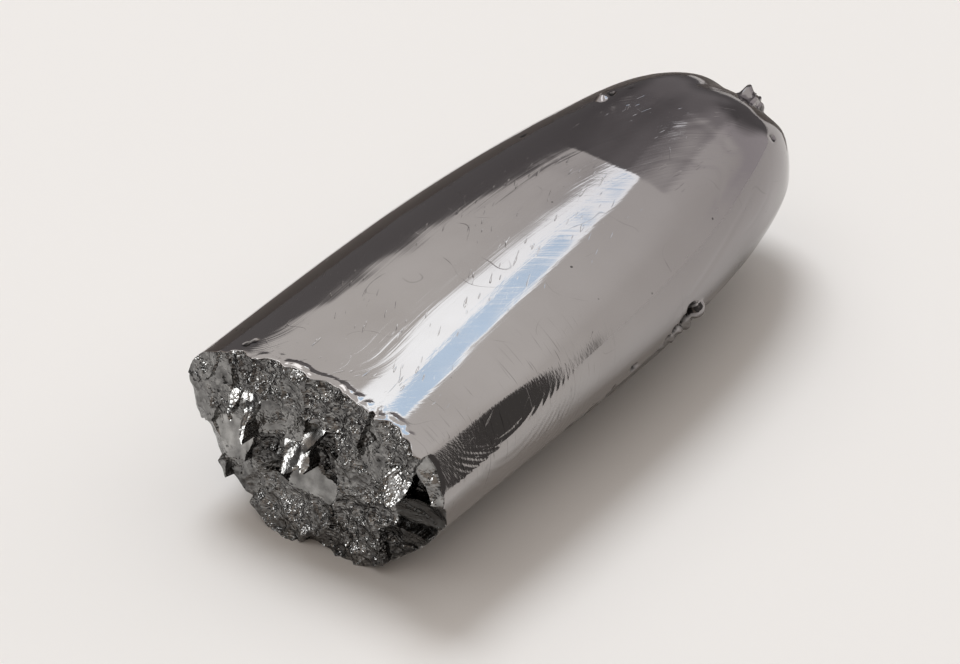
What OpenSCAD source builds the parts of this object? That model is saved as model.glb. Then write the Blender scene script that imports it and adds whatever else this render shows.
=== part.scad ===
// Half of a ruthenium bar, melted by electron beam in a cooled trough and snapped across.
// The trough leaves a narrow flat base and round flanks, the free melt a crowned top,
// the end of the pool a rounded nose, and the snap a coarse face of crystal facets.
// One cast piece. Millimetres, +Z up, +X from the break to the nose.

/* [Bar] */
// Length from the mean plane of the break to the tip of the nose
bar_length = 34; // [30:0.5:40]
// Width across the flanks at the break
break_width = 15.2; // [13:0.1:18]
// Width that the flanks taper to at the nose, before they close
nose_width = 12.2; // [10:0.1:16]
// Height of the crown at the break
break_height = 9.1; // [8:0.1:11]
// Height that the crown climbs to at the nose, before it closes
nose_height = 10.8; // [9:0.1:13]
// Swell of each flank at mid-length
flank_swell = 0.5; // [0:0.1:1]
// Sideways bow of the centre line at mid-length
bow = 0.45; // [0:0.05:1]
// Sideways drift of the tip from the middle of the break
tip_drift = -0.3; // [-1:0.1:1]

/* [Section] */
// Height of the widest line at the break
break_beam = 6.6; // [5.5:0.1:7.2]
// Height of the widest line at the nose
nose_beam = 4.7; // [4:0.1:6]
// Fullness of the crown: 2 is an ellipse and more is squarer
crown_fullness = 2.5; // [2:0.05:3.2]
// Fullness of the flanks below the widest line
flank_fullness = 1.95; // [1.7:0.05:2.6]
// Depth of the round underside that the flat of the trough takes off
base_flat = 0.55; // [0.3:0.05:1]
// Lean of the flat on the near shoulder, from upright
flat_lean = 30; // [25:1:40]
// Distance of that flat from the line under the bar's middle
flat_reach = 9.7; // [9.4:0.05:10.5]

/* [Nose] */
// Run over which the flanks close to the tip
flank_run = 22.8; // [16:0.2:28]
// Fullness of the nose seen from above
flank_nose = 2.9; // [2.2:0.1:3.4]
// Run over which the crown drops to the tip
crown_run = 7.2; // [5:0.1:10]
// Fullness of the crown's drop
crown_nose = 2.1; // [1.8:0.1:2.6]
// Run over which the underside climbs to the tip
keel_run = 15; // [11:0.5:19]
// Fullness of the underside's climb
keel_nose = 1.4; // [1.2:0.05:2]

/* [Lip] */
// Height of the lip where the free melt hung over the trough's wall
lip_height = 4; // [3:0.1:5]
// Depth of the step under the lip
lip_step = 0.2; // [0.1:0.05:0.4]
// Height over which the step fades in
lip_roll = 0.5; // [0.3:0.05:1]

/* [Break] */
// Reach of the tongue on the near shoulder, proud of the break
tongue_reach = 0.4; // [0.2:0.05:0.8]
// Depth to which the near lower corner broke back
corner_depth = 0.45; // [0.2:0.05:0.9]
// Depth of the rough hollow beside the middle
hollow_depth = 0.35; // [0.1:0.05:0.8]
// Share of the relief that the crystal facets have
facet_relief = 1; // [0.6:0.05:1.3]
// Share of the slope that the crystal facets have
facet_slope = 1; // [0.6:0.05:1.3]
// Run behind the break over which its ragged rim evens out
rim_run = 5; // [3:0.5:8]

/* [Droplets] */
// Diameter of the frozen droplet on the rim of the nose
nose_droplet = 1.2; // [0.8:0.1:1.6]
// Diameter of the larger frozen droplet under the lip
lip_droplet = 1.3; // [0.8:0.1:1.6]
// Share of a droplet's radius at which its middle lies below the skin
droplet_sink = 0.2; // [0:0.05:0.5]

/* [Hidden] */

// Points round each section, sections along the bar and rings across the break
AROUND = 72;
SECTIONS = 38;
RINGS = 20;
// Crowding of the sections towards the tip: 1 is even spacing
CROWDING = 1.5;
// Overhang of the cutting slab past the bar
SLAB_OVER = 5;

// Crystals of the break: share of the half width, share of the height, setback, slope across, slope up
CRYSTALS = [
    [0.88, 0.84, -0.1, 0.1, 0.25],
    [0.95, 0.58, -0.1, 0.15, -0.05],
    [0.74, 0.82, -0.1, 0.05, 0.2],
    [0.76, 0.69, -0.1, -0.1, 0.15],
    [0.7, 0.67, 0, -0.3, -0.1],
    [0.64, 0.68, -0.25, 0.1, 0.8],
    [0.59, 0.66, 0.05, -0.3, 0],
    [0.55, 0.68, -0.2, 0.15, 0.85],
    [0.59, 0.86, 0, 0.1, 0.2],
    [0.42, 0.87, 0.05, 0, 0.25],
    [0.64, 0.45, -0.15, 0.12, 0.22],
    [0.84, 0.33, 0.15, 0.3, -0.1],
    [0.8, 0.2, -0.55, 0.1, 0.3],
    [0.58, 0.21, 0.05, -0.2, -0.05],
    [0.39, 0.68, 0.15, -0.25, 0.1],
    [0.36, 0.44, 0.3, -0.2, -0.1],
    [0.39, 0.15, -0.1, 0, 0.25],
    [0.21, 0.84, 0, 0.05, 0.25],
    [0.17, 0.68, -0.05, 0.3, 0.15],
    [0.03, 0.66, -0.2, 0.2, 0.95],
    [0.1, 0.55, -0.25, 0.15, 0.9],
    [-0.03, 0.64, hollow_depth, -0.3, 0],
    [-0.01, 0.54, 0.2, -0.2, 0],
    [0, 0.84, 0.05, 0, 0.2],
    [0.05, 0.4, 0.1, -0.05, 0.12],
    [0.08, 0.19, -0.12, 0.05, 0.2],
    [-0.11, 0.07, -0.2, 0, 0],
    [-0.21, 0.81, -0.05, 0.1, 0.25],
    [-0.22, 0.57, 0.1, -0.1, 0.1],
    [-0.29, 0.29, 0, 0.1, 0.05],
    [-0.45, 0.75, 0.05, 0.1, 0.15],
    [-0.5, 0.46, 0.1, -0.08, 0.08],
    [-0.39, 0.09, -0.2, 0.1, 0.1],
    [-0.7, 0.71, -0.25, 0.25, 0.85],
    [-0.68, 0.87, -tongue_reach, 0.1, 0.25],
    [-0.78, 0.7, 0.2, -0.3, 0],
    [-0.91, 0.78, -0.2, -0.3, 0.25],
    [-0.84, 0.55, 0, -0.2, -0.5],
    [-0.72, 0.43, 0.2, -0.3, -0.45],
    [-0.68, 0.26, corner_depth, -0.1, -0.5],
    [-0.61, 0.11, corner_depth, -0.2, 0.1],
];

// Droplets: distance behind the tip, angle round the section, diameter
DROPLETS = [
    [1.7, 105, nose_droplet],
    [1.5, 116, nose_droplet * 0.7],
    [2.2, 122, nose_droplet * 0.5],
    [13.3, 192, lip_droplet],
    [14.2, 190, lip_droplet * 0.7],
    [15.0, 193, lip_droplet * 0.6],
    [18.7, 194, lip_droplet * 0.45],
    [8.0, 66, lip_droplet * 0.5],
];

function mix(a, b, t) = a + (b - a) * t;
function ease(t) = let (k = min(max(t, 0), 1)) k * k * (3 - 2 * k);
function signed_power(v, p) = sign(v) * pow(abs(v), p);
function along(x) = x / bar_length;

// Share of full size left at x where a form closes to the tip over a run
function closing(x, run, fullness) =
    let (k = min(max((x - bar_length + run) / run, 0), 1))
    pow(max(1 - pow(k, fullness), 0), 1 / fullness);

function centre_line(x) = tip_drift * pow(along(x), 2) + bow * sin(180 * along(x));
function beam(x) = mix(break_beam, nose_beam, along(x));
function half_width(x) =
    (mix(break_width, nose_width, along(x)) / 2 + flank_swell * sin(180 * along(x)))
    * closing(x, flank_run, flank_nose);
function crown_rise(x) =
    (mix(break_height, nose_height, along(x)) - beam(x)) * closing(x, crown_run, crown_nose);
function keel_drop(x) = (beam(x) + base_flat) * closing(x, keel_run, keel_nose);

// Point of the melt's skin at x, at an angle round the section from +Y over the crown
function skin(x, angle) =
    let (
        crown = sin(angle) >= 0,
        power = 2 / (crown ? crown_fullness : flank_fullness),
        reach = half_width(x) * signed_power(cos(angle), power),
        rise = (crown ? crown_rise(x) : keel_drop(x)) * signed_power(sin(angle), power),
        z = beam(x) + rise,
        step = lip_step * ease((lip_height - z) / lip_roll) * closing(x, flank_run, flank_nose)
    )
    shoulder([x, centre_line(x) + reach - sign(reach) * min(step, abs(reach)), z]);

// Point moved onto the flat of the near shoulder where it lies beyond it
function shoulder(p) =
    let (outward = [0, -cos(flat_lean), sin(flat_lean)])
    p - max(p * outward - flat_reach, 0) * outward;

// Crystal nearest to a point [y, z] of the break's plane
seats = [for (c = CRYSTALS) [c[0] * break_width / 2, c[1] * break_height]];
function nearest(p) =
    let (gaps = [for (s = seats) norm(s - p)])
    search(min(gaps), gaps)[0];

// Setback of the break at a point [y, z] of its plane: negative is proud
function setback(p) =
    let (i = nearest(p), away = p - seats[i])
    facet_relief * CRYSTALS[i][2] + facet_slope * (CRYSTALS[i][3] * away.x + CRYSTALS[i][4] * away.y);

angles = [for (i = [0:AROUND - 1]) 360 * i / AROUND];
rim = [for (a = angles) skin(0, a)];
rim_setback = [for (p = rim) setback([p.y, p.z])];

function rim_fade(x) = pow(max(1 - x / rim_run, 0), 2);
function station(i) = bar_length * (1 - pow(1 - i / SECTIONS, CROWDING));

// Rings of the skin from the break to the last section before the tip
skin_rings = [
    for (i = [0:SECTIONS - 1])
        [
            for (j = [0:AROUND - 1])
                skin(station(i) + rim_setback[j] * rim_fade(station(i)), angles[j])
        ]
];

// Rings of the break, shrinking from the rim to its middle
break_middle = [centre_line(0), break_height / 2];
break_rings = [
    for (k = [1:RINGS - 1])
        [
            for (p = rim)
                let (q = mix([p.y, p.z], break_middle, k / RINGS))
                [setback(q), q.x, q.y]
        ]
];
break_tip = [setback(break_middle), break_middle.x, break_middle.y];
nose_tip = skin(bar_length, 0);

// All rings in order from the break's middle to the tip of the nose
rings = concat([for (k = [RINGS - 2:-1:0]) break_rings[k]], skin_rings);
points = concat([break_tip], [for (ring = rings) each ring], [nose_tip]);

function at(ring, j) = 1 + ring * AROUND + j % AROUND;
last = len(rings) - 1;
faces = concat(
    [for (j = [0:AROUND - 1]) [0, at(0, j), at(0, j + 1)]],
    [
        for (r = [0:last - 1], j = [0:AROUND - 1])
            each [
                [at(r, j), at(r + 1, j + 1), at(r, j + 1)],
                [at(r, j), at(r + 1, j), at(r + 1, j + 1)],
            ]
    ],
    [for (j = [0:AROUND - 1]) [at(last, j), len(points) - 1, at(last, j + 1)]]
);

// Middle of the bar's box, which stands over the origin
box_x = (min([for (p = points) p.x]) + max([for (p = points) p.x])) / 2;
box_y = (min([for (p = points) p.y]) + max([for (p = points) p.y])) / 2;

// Melt frozen in the trough, with its crown, flanks, nose and broken face
module melt() {
    polyhedron(points, faces, convexity = 6);
}

// Drop of spatter frozen on the skin
module droplet(behind_tip, angle, diameter) {
    x = bar_length - behind_tip;
    seat = skin(x, angle);
    inside = [x, centre_line(x), beam(x)];
    outward = (seat - inside) / norm(seat - inside);
    translate(seat - outward * droplet_sink * diameter / 2)
        sphere(d = diameter, $fn = 16);
}

// Flat floor of the trough, below the bar
module trough_floor() {
    size = [bar_length, break_width, break_height] + 2 * SLAB_OVER * [1, 1, 0];
    translate([-SLAB_OVER, -size.y / 2, -size.z])
        cube(size);
}

module bar() {
    color("#8d8989")
        translate([-box_x, -box_y, 0])
            difference() {
                union() {
                    melt();
                    for (d = DROPLETS)
                        droplet(d[0], d[1], d[2]);
                }
                trough_floor();
            }
}

bar();
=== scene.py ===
"""Half of a ruthenium bar as it came from the melt: its skin, its broken face, a studio and the camera."""

import logging
import math
from dataclasses import dataclass, field
from enum import Enum

import bpy
import numpy as np
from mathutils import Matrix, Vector, geometry, noise


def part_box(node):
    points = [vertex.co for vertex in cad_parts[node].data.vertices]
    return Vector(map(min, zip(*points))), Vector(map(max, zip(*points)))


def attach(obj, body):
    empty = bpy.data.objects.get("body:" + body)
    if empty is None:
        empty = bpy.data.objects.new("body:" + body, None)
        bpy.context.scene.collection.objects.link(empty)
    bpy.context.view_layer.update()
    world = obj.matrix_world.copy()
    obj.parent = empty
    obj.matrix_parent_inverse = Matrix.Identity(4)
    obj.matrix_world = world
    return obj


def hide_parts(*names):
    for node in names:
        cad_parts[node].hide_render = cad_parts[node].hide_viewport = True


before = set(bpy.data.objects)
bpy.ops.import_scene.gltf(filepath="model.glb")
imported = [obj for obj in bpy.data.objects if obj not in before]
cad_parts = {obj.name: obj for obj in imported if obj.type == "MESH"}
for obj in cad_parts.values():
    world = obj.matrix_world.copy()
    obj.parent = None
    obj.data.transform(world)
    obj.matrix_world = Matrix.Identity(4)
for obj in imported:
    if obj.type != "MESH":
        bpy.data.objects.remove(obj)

MM = 0.001
PHOTO_WIDTH = 960
FAR = 1e9
TINY = 1e-12
INSIDE_BORDERS = 1
NOISE_MIDDLE = 0.5
log = logging.getLogger("ruthenium_bar")

Array = np.ndarray
Node = bpy.types.Node
Socket = bpy.types.NodeSocket
Source = Node | Socket
Tree = bpy.types.NodeTree


class Zone(Enum):
    """Parts of the bar's surface, with the places of their materials."""

    SKIN = 0
    BREAK = 1


class Attribute(Enum):
    """Values that the mesh hands to its finishes.

    FLOW is the place along and round the bar. BRUSH, HATCH and HAIR say where the three kinds of strokes
    lie, RIPPLE is the distance from the middle of the frozen waves and CALM where they show. PIT_SHADE is
    painted shade in the pits, and UNDER the skin that touched the trough and a patch by the nose, dull and
    painted in shade. FLAT and PAINTED_REFLECTION_TONE are a crystal's looks: its smoothness and how much of
    its colour a painted dark reflection leaves.
    """

    FLOW = "flow"
    HATCH = "hatch"
    HAIR = "hair"
    BRUSH = "brush"
    PIT_SHADE = "soot"
    FLAT = "flat"
    PAINTED_REFLECTION_TONE = "tone"
    RIPPLE = "ripple"
    UNDER = "under"
    CALM = "calm"

    @property
    def output(self) -> str:
        """Output of an attribute node that holds this value."""
        return "Vector" if self is Attribute.FLOW else "Fac"


Given = dict[Attribute, Socket]


def linear(hex_colour: str) -> tuple[float, float, float, float]:
    """Turns an sRGB hex colour into linear light.

    Args:
        hex_colour: six hex digits after a hash sign.

    Returns:
        Red, green, blue and an alpha of 1, in linear light.
    """
    parts = [int(hex_colour[i:i + 2], 16) / 255 for i in (1, 3, 5)]
    light = [v / 12.92 if v <= 0.04045 else ((v + 0.055) / 1.055) ** 2.4 for v in parts]
    return (*light, 1.0)


def add_node(tree: Tree, kind: str, inputs: dict, **settings: object) -> Node:
    """Adds a shader node with its settings and links.

    Args:
        tree: the node tree to add to.
        kind: Blender's name of the node, after the ShaderNode that all of them start with.
        inputs: value, socket or node for each input, by the input's name or number. A node stands for
            the first of its outputs in use.
        settings: attributes of the node itself.

    Returns:
        The new node.
    """
    node = tree.nodes.new("ShaderNode" + kind)
    for name, value in settings.items():
        setattr(node, name, value)
    for key, value in inputs.items():
        if isinstance(value, Node):
            value = next(socket for socket in value.outputs if socket.enabled)
        if isinstance(value, Socket):
            tree.links.new(value, node.inputs[key])
        else:
            node.inputs[key].default_value = value
    return node


def ease(share: Array) -> Array:
    """Smooth step from 0 to 1 while a share goes from 0 to 1."""
    k = np.clip(share, 0.0, 1.0)
    return k * k * (3 - 2 * k)


def noise_at(points: Array, cell: tuple[float, float, float], pattern: float) -> Array:
    """Smooth noise, from about -1 to 1, at many points.

    Args:
        points: places, in mm, one a row.
        cell: size of the noise's cells along each axis, in mm.
        pattern: shift that gives another pattern.

    Returns:
        One value for each point.
    """
    scaled = points.reshape(-1, 3) / np.array(cell) + pattern
    values = np.array([noise.noise(Vector(p)) for p in scaled])
    return values.reshape(points.shape[:-1])


def scatter(index: Array, channel: int) -> Array:
    """Fixed scatter from -1 to 1 for each index, the same on every run.

    Args:
        index: whole numbers.
        channel: number of the series, so that one index can have several values.

    Returns:
        One value for each index.
    """
    wave = np.sin(index * 12.9898 + channel * 78.233) * 43758.5453
    return 2 * (wave - np.floor(wave)) - 1


def direction(azimuth: float, elevation: float) -> Vector:
    """Unit vector at an azimuth from +X towards +Y and an elevation, both in degrees."""
    a, e = math.radians(azimuth), math.radians(elevation)
    return Vector((math.cos(a) * math.cos(e), math.sin(a) * math.cos(e), math.sin(e)))


@dataclass(frozen=True)
class Ramp:
    """Smooth step of a value from 0 at its start to 1 past its run, which is negative for a step down."""

    start: float
    run: float

    def of(self, value: Array) -> Array:
        """Height of the step at each value."""
        return ease((value - self.start) / self.run)


@dataclass(frozen=True)
class Band:
    """Stretch of a value with soft ends: its start and the run of it, its end and the run of that."""

    start: float
    rise: float
    end: float
    fall: float

    def of(self, value: Array) -> Array:
        """Share, from 0 to 1, by which each value lies in the stretch."""
        return ease((value - self.start) / self.rise) * ease((self.end - value) / self.fall)


@dataclass(frozen=True)
class Bell:
    """Soft peak of a value: its middle and its width."""

    middle: float
    width: float

    def of(self, value: Array) -> Array:
        """Height of the peak, from 0 to 1, at each value."""
        return np.exp(-(((value - self.middle) / self.width) ** 2))


@dataclass(frozen=True)
class Course:
    """Value that changes along the bar, by its distance from the break in mm."""

    stations: tuple[float, ...]
    values: tuple[float, ...]

    def at(self, x: Array) -> Array:
        """The value at each distance from the break."""
        return np.interp(x, self.stations, self.values)


@dataclass(frozen=True)
class Swell:
    """Smooth unevenness: its height, the size of its cells along three axes in mm, and its pattern."""

    height: float
    cell: tuple[float, float, float]
    pattern: float

    def at(self, points: Array) -> Array:
        """The height at each point."""
        return self.height * noise_at(points, self.cell, self.pattern)


@dataclass
class BarForm:
    """Loft of the frozen melt, in mm, with x from the mean plane of the break to the tip."""

    length: float = 34.0
    break_width: float = 15.2
    nose_width: float = 12.2
    break_height: float = 9.1
    nose_height: float = 10.8
    flank_swell: float = 0.5
    bow: float = 0.45
    tip_drift: float = -0.3
    break_beam: float = 6.6
    nose_beam: float = 4.7
    crown_fullness: float = 2.5
    flank_fullness: float = 1.95
    base_flat: float = 0.55
    flank_run: float = 22.8
    flank_nose: float = 2.9
    crown_run: float = 7.2
    crown_nose: float = 2.1
    keel_run: float = 15.0
    keel_nose: float = 1.4
    lip_height: float = 4.0
    lip_step: float = 0.2
    lip_roll: float = 0.5
    flat_lean: float = 30.0
    flat_reach: float = 9.7
    flat_ease: float = 0.12
    flat_blend: float = 1.0

    def closing(self, x: Array, run: float, fullness: float) -> Array:
        """Share of full size left at x where a form closes to the tip over a run."""
        k = np.clip((x - self.length + run) / run, 0, 1)
        return np.maximum(1 - k ** fullness, 0) ** (1 / fullness)

    def along(self, x: Array, at_break: float, at_nose: float) -> Array:
        """Value at x of a size that changes evenly from the break to the nose."""
        return at_break + (at_nose - at_break) * x / self.length

    def centre_line(self, x: Array) -> Array:
        """Sideways place of the section's middle at x."""
        share = x / self.length
        return self.tip_drift * share ** 2 + self.bow * np.sin(np.pi * share)

    def flattened(self, y: Array, z: Array) -> tuple[Array, Array]:
        """Takes the flat off the near shoulder of a section.

        Args:
            y: places across the bar.
            z: heights.

        Returns:
            The places and heights with the flat taken off.
        """
        lean = math.radians(self.flat_lean)
        over = z * math.sin(lean) - y * math.cos(lean) - self.flat_reach
        over = (over + np.sqrt(over ** 2 + self.flat_ease ** 2)) / 2 * (over > -self.flat_blend)
        return y + over * math.cos(lean), z - over * math.sin(lean)

    def skin(self, x: Array, angle: Array) -> Array:
        """Points of the skin.

        Args:
            x: distances from the break.
            angle: angles round the section in radians, from +Y over the crown.

        Returns:
            One point for each pair, in mm.
        """
        closing = self.closing(x, self.flank_run, self.flank_nose)
        swell = self.flank_swell * np.sin(np.pi * x / self.length)
        half = (self.along(x, self.break_width, self.nose_width) / 2 + swell) * closing
        beam = self.along(x, self.break_beam, self.nose_beam)
        crown = self.along(x, self.break_height, self.nose_height) - beam
        crown = crown * self.closing(x, self.crown_run, self.crown_nose)
        keel = (beam + self.base_flat) * self.closing(x, self.keel_run, self.keel_nose)
        sine, cosine = np.sin(angle), np.cos(angle)
        power = 2 / np.where(sine >= 0, self.crown_fullness, self.flank_fullness)
        reach = half * np.sign(cosine) * np.abs(cosine) ** power
        z = beam + np.where(sine >= 0, crown, keel) * np.sign(sine) * np.abs(sine) ** power
        step = self.lip_step * ease((self.lip_height - z) / self.lip_roll) * closing
        y = self.centre_line(x) + reach - np.sign(reach) * np.minimum(step, np.abs(reach))
        y, z = self.flattened(y, z)
        return np.stack([x + 0 * y, y, z], -1)


@dataclass(frozen=True)
class Crystal:
    """Flat facet of the break.

    Its middle is a share of the half width and of the height. Its setback is in mm, with two slopes,
    the share by which finer grains are left out and the share of the metal's brightness it keeps; the
    rest is painted dark, a painted reflection of dark surroundings.
    """

    across: float
    up: float
    setback: float
    slope_across: float = 0.0
    slope_up: float = 0.0
    smooth: float = 0.0
    tone: float = 1.0


@dataclass(frozen=True)
class Grain:
    """Layer of small facets: their spacing, the most that one stands out, in mm, and the most slope."""

    size: float
    step: float
    slope: float


@dataclass(frozen=True)
class Bubble:
    """Gas bubble that the break cut open: its place along Y and Z, and its radius, in mm."""

    across: float
    up: float
    radius: float


@dataclass
class BreakRelief:
    """Setback of the broken face from its mean plane, in mm: negative is proud."""

    half_width: float = 7.6
    height: float = 9.1
    crystals: tuple[Crystal, ...] = (
        Crystal(0.88, 0.84, -0.1, 0.1, 0.25, 0.45),
        Crystal(0.95, 0.58, -0.1, 0.15, -0.05, 0.5),
        Crystal(0.74, 0.82, -0.1, 0.05, 0.2, 0.5),
        Crystal(0.76, 0.69, -0.1, -0.1, 0.15, 0.35),
        Crystal(0.7, 0.67, 0, -0.3, -0.1, 0.3),
        Crystal(0.64, 0.68, -0.25, 0.1, 0.8, 0.8),
        Crystal(0.59, 0.66, 0.05, -0.3, 0, 0.3),
        Crystal(0.55, 0.68, -0.2, 0.15, 0.85, 0.8),
        Crystal(0.59, 0.86, 0, 0.1, 0.2),
        Crystal(0.42, 0.87, 0.05, 0, 0.25),
        Crystal(0.64, 0.45, -0.15, 0.12, 0.22, 0.9),
        Crystal(0.84, 0.33, 0.15, 0.3, -0.1, 0.5),
        Crystal(0.8, 0.2, -0.55, 0.1, 0.3, 0.4),
        Crystal(0.58, 0.21, 0.05, -0.2, -0.05, 0.45),
        Crystal(0.39, 0.68, 0.15, -0.25, 0.1, 0.55),
        Crystal(0.36, 0.44, 0.3, -0.2, -0.1, 0.0, 0.6),
        Crystal(0.39, 0.15, -0.1, 0, 0.25, 0.35),
        Crystal(0.21, 0.84, 0, 0.05, 0.25, 0.3),
        Crystal(0.17, 0.68, -0.05, 0.3, 0.15, 0.6),
        Crystal(0.03, 0.66, -0.2, 0.2, 0.95, 1),
        Crystal(0.1, 0.55, -0.25, 0.15, 0.9, 0.9),
        Crystal(-0.03, 0.64, 0.35, -0.3, 0, 0.0, 0.5),
        Crystal(-0.01, 0.54, 0.2, -0.2, 0, 0.0, 0.5),
        Crystal(0, 0.84, 0.05, 0, 0.2),
        Crystal(0.05, 0.4, 0.1, -0.05, 0.12, 0.9, 0.75),
        Crystal(0.08, 0.19, -0.12, 0.05, 0.2, 0.2),
        Crystal(-0.11, 0.07, -0.2, 0, 0),
        Crystal(-0.21, 0.81, -0.05, 0.1, 0.25),
        Crystal(-0.22, 0.57, 0.1, -0.1, 0.1, 0.3),
        Crystal(-0.29, 0.29, 0, 0.1, 0.05),
        Crystal(-0.45, 0.75, 0.05, 0.1, 0.15, 0.4),
        Crystal(-0.5, 0.46, 0.1, -0.08, 0.08),
        Crystal(-0.39, 0.09, -0.2, 0.1, 0.1),
        Crystal(-0.7, 0.71, -0.25, 0.25, 0.85, 0.6),
        Crystal(-0.68, 0.87, -0.4, 0.1, 0.25),
        Crystal(-0.78, 0.7, 0.2, -0.3, 0, 0.0, 0.35),
        Crystal(-0.91, 0.78, -0.2, -0.3, 0.25, 0.6),
        Crystal(-0.84, 0.55, 0, -0.2, -0.5, 0.8, 0.22),
        Crystal(-0.72, 0.43, 0.2, -0.3, -0.45, 0.7, 0.25),
        Crystal(-0.68, 0.26, 0.45, -0.1, -0.5, 0.2, 0.45),
        Crystal(-0.61, 0.11, 0.45, -0.2, 0.1, 0.0, 0.5),
    )
    bowl: float = 0.05
    warp_across: Swell = Swell(0.25, (0.9, 0.9, 1.0), 3.1)
    warp_up: Swell = Swell(0.25, (0.9, 0.9, 1.0), 9.7)
    grains: tuple[Grain, ...] = (Grain(0.95, 0.12, 0.45), Grain(0.36, 0.05, 0.5))
    grain_warp: float = 0.3
    grain_loss: float = 0.95
    scoop: float = 0.35
    bubbles: tuple[Bubble, ...] = (Bubble(0.75, 4.4, 0.17), Bubble(-0.2, 4.35, 0.14), Bubble(5.4, 4.9, 0.12))
    bubble_depth: float = 1.6
    ledge_width: float = 0.26
    ledge_depth: float = 0.22
    ledge_up: Ramp = Ramp(7.2, 1.2)
    ledge_across: Ramp = Ramp(4.5, -2.0)
    ledge_share: float = 0.55
    ledge_crumble: Swell = Swell(0.9, (0.8, 0.8, 1.0), 21.3)

    def facets(self, across: Array, up: Array) -> tuple[Array, Array]:
        """Setback and looks from the nearest of the large crystals.

        Args:
            across: places along Y.
            up: places along Z.

        Returns:
            The setback, and the smoothness and painted reflection tone of the crystal.
        """
        middles = np.array([(c.across * self.half_width, c.up * self.height) for c in self.crystals])
        away = np.stack([across, up], -1)[..., None, :] - middles
        nearest = np.argmin((away ** 2).sum(-1), -1)
        slopes = np.array([(c.slope_across, c.slope_up) for c in self.crystals])[nearest]
        looks = np.array([(c.smooth, c.tone) for c in self.crystals])[nearest]
        step = np.take_along_axis(away, nearest[..., None, None], -2)[..., 0, :]
        setback = np.array([c.setback for c in self.crystals])[nearest] + (slopes * step).sum(-1)
        return setback - self.bowl * (step ** 2).sum(-1), looks

    def grained(self, across: Array, up: Array, grain: Grain, layer: int) -> Array:
        """Small facets on a jittered grid, each with its own step and slopes.

        Args:
            across: places along Y.
            up: places along Z.
            grain: size, step and slope of the facets.
            layer: number that sets one layer of grains apart from another.

        Returns:
            The setback of the grains alone.
        """
        column, row = np.floor(across / grain.size), np.floor(up / grain.size)
        result = np.full(across.shape, -FAR)
        for shift_across in (-1, 0, 1):
            for shift_up in (-1, 0, 1):
                own_column, own_row = column + shift_across, row + shift_up
                # Strides far apart give every cell of every layer an index of its own
                index = own_column * 131 + own_row * 17 + layer * 1009
                gap_across = across - (own_column + 0.5 + 0.5 * scatter(index, 1)) * grain.size
                gap_up = up - (own_row + 0.5 + 0.5 * scatter(index, 2)) * grain.size
                scoop = self.scoop * (gap_across ** 2 + gap_up ** 2) / grain.size
                lean = scatter(index, 4) * gap_across + scatter(index, 5) * gap_up
                plane = grain.step * scatter(index, 3) - scoop + grain.slope * lean
                result = np.maximum(result, plane)
        return result

    def setback(self, across: Array, up: Array, edge: Array) -> tuple[Array, Array]:
        """Full relief of the break.

        Args:
            across: places along Y.
            up: places along Z.
            edge: distance of each place from the rim.

        Returns:
            The setback, and the smoothness and painted reflection tone of the crystal there.
        """
        places = np.stack([across, up, 0 * up], -1)
        warp_across, warp_up = self.warp_across.at(places), self.warp_up.at(places)
        total, looks = self.facets(across + warp_across, up + warp_up)
        bent_across, bent_up = across + self.grain_warp * warp_across, up + self.grain_warp * warp_up
        for layer, grain in enumerate(self.grains):
            kept = 1 - self.grain_loss * looks[..., 0]
            total = total + self.grained(bent_across, bent_up, grain, layer) * kept
        for bubble in self.bubbles:
            away = ((across - bubble.across) ** 2 + (up - bubble.up) ** 2) / bubble.radius ** 2
            total = total + self.bubble_depth * bubble.radius * np.exp(-away ** 2)
        crumbled = np.clip(self.ledge_share + self.ledge_crumble.at(places), 0, 1)
        ledge = self.ledge_up.of(up) * self.ledge_across.of(across) * crumbled
        return total + self.ledge_depth * (1 - ease(edge / self.ledge_width)) * ledge, looks


@dataclass(frozen=True)
class Mark:
    """Pit or frozen droplet on the skin: distance from the break, angle, radius and height in mm."""

    x: float
    degrees: float
    radius: float
    height: float


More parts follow.
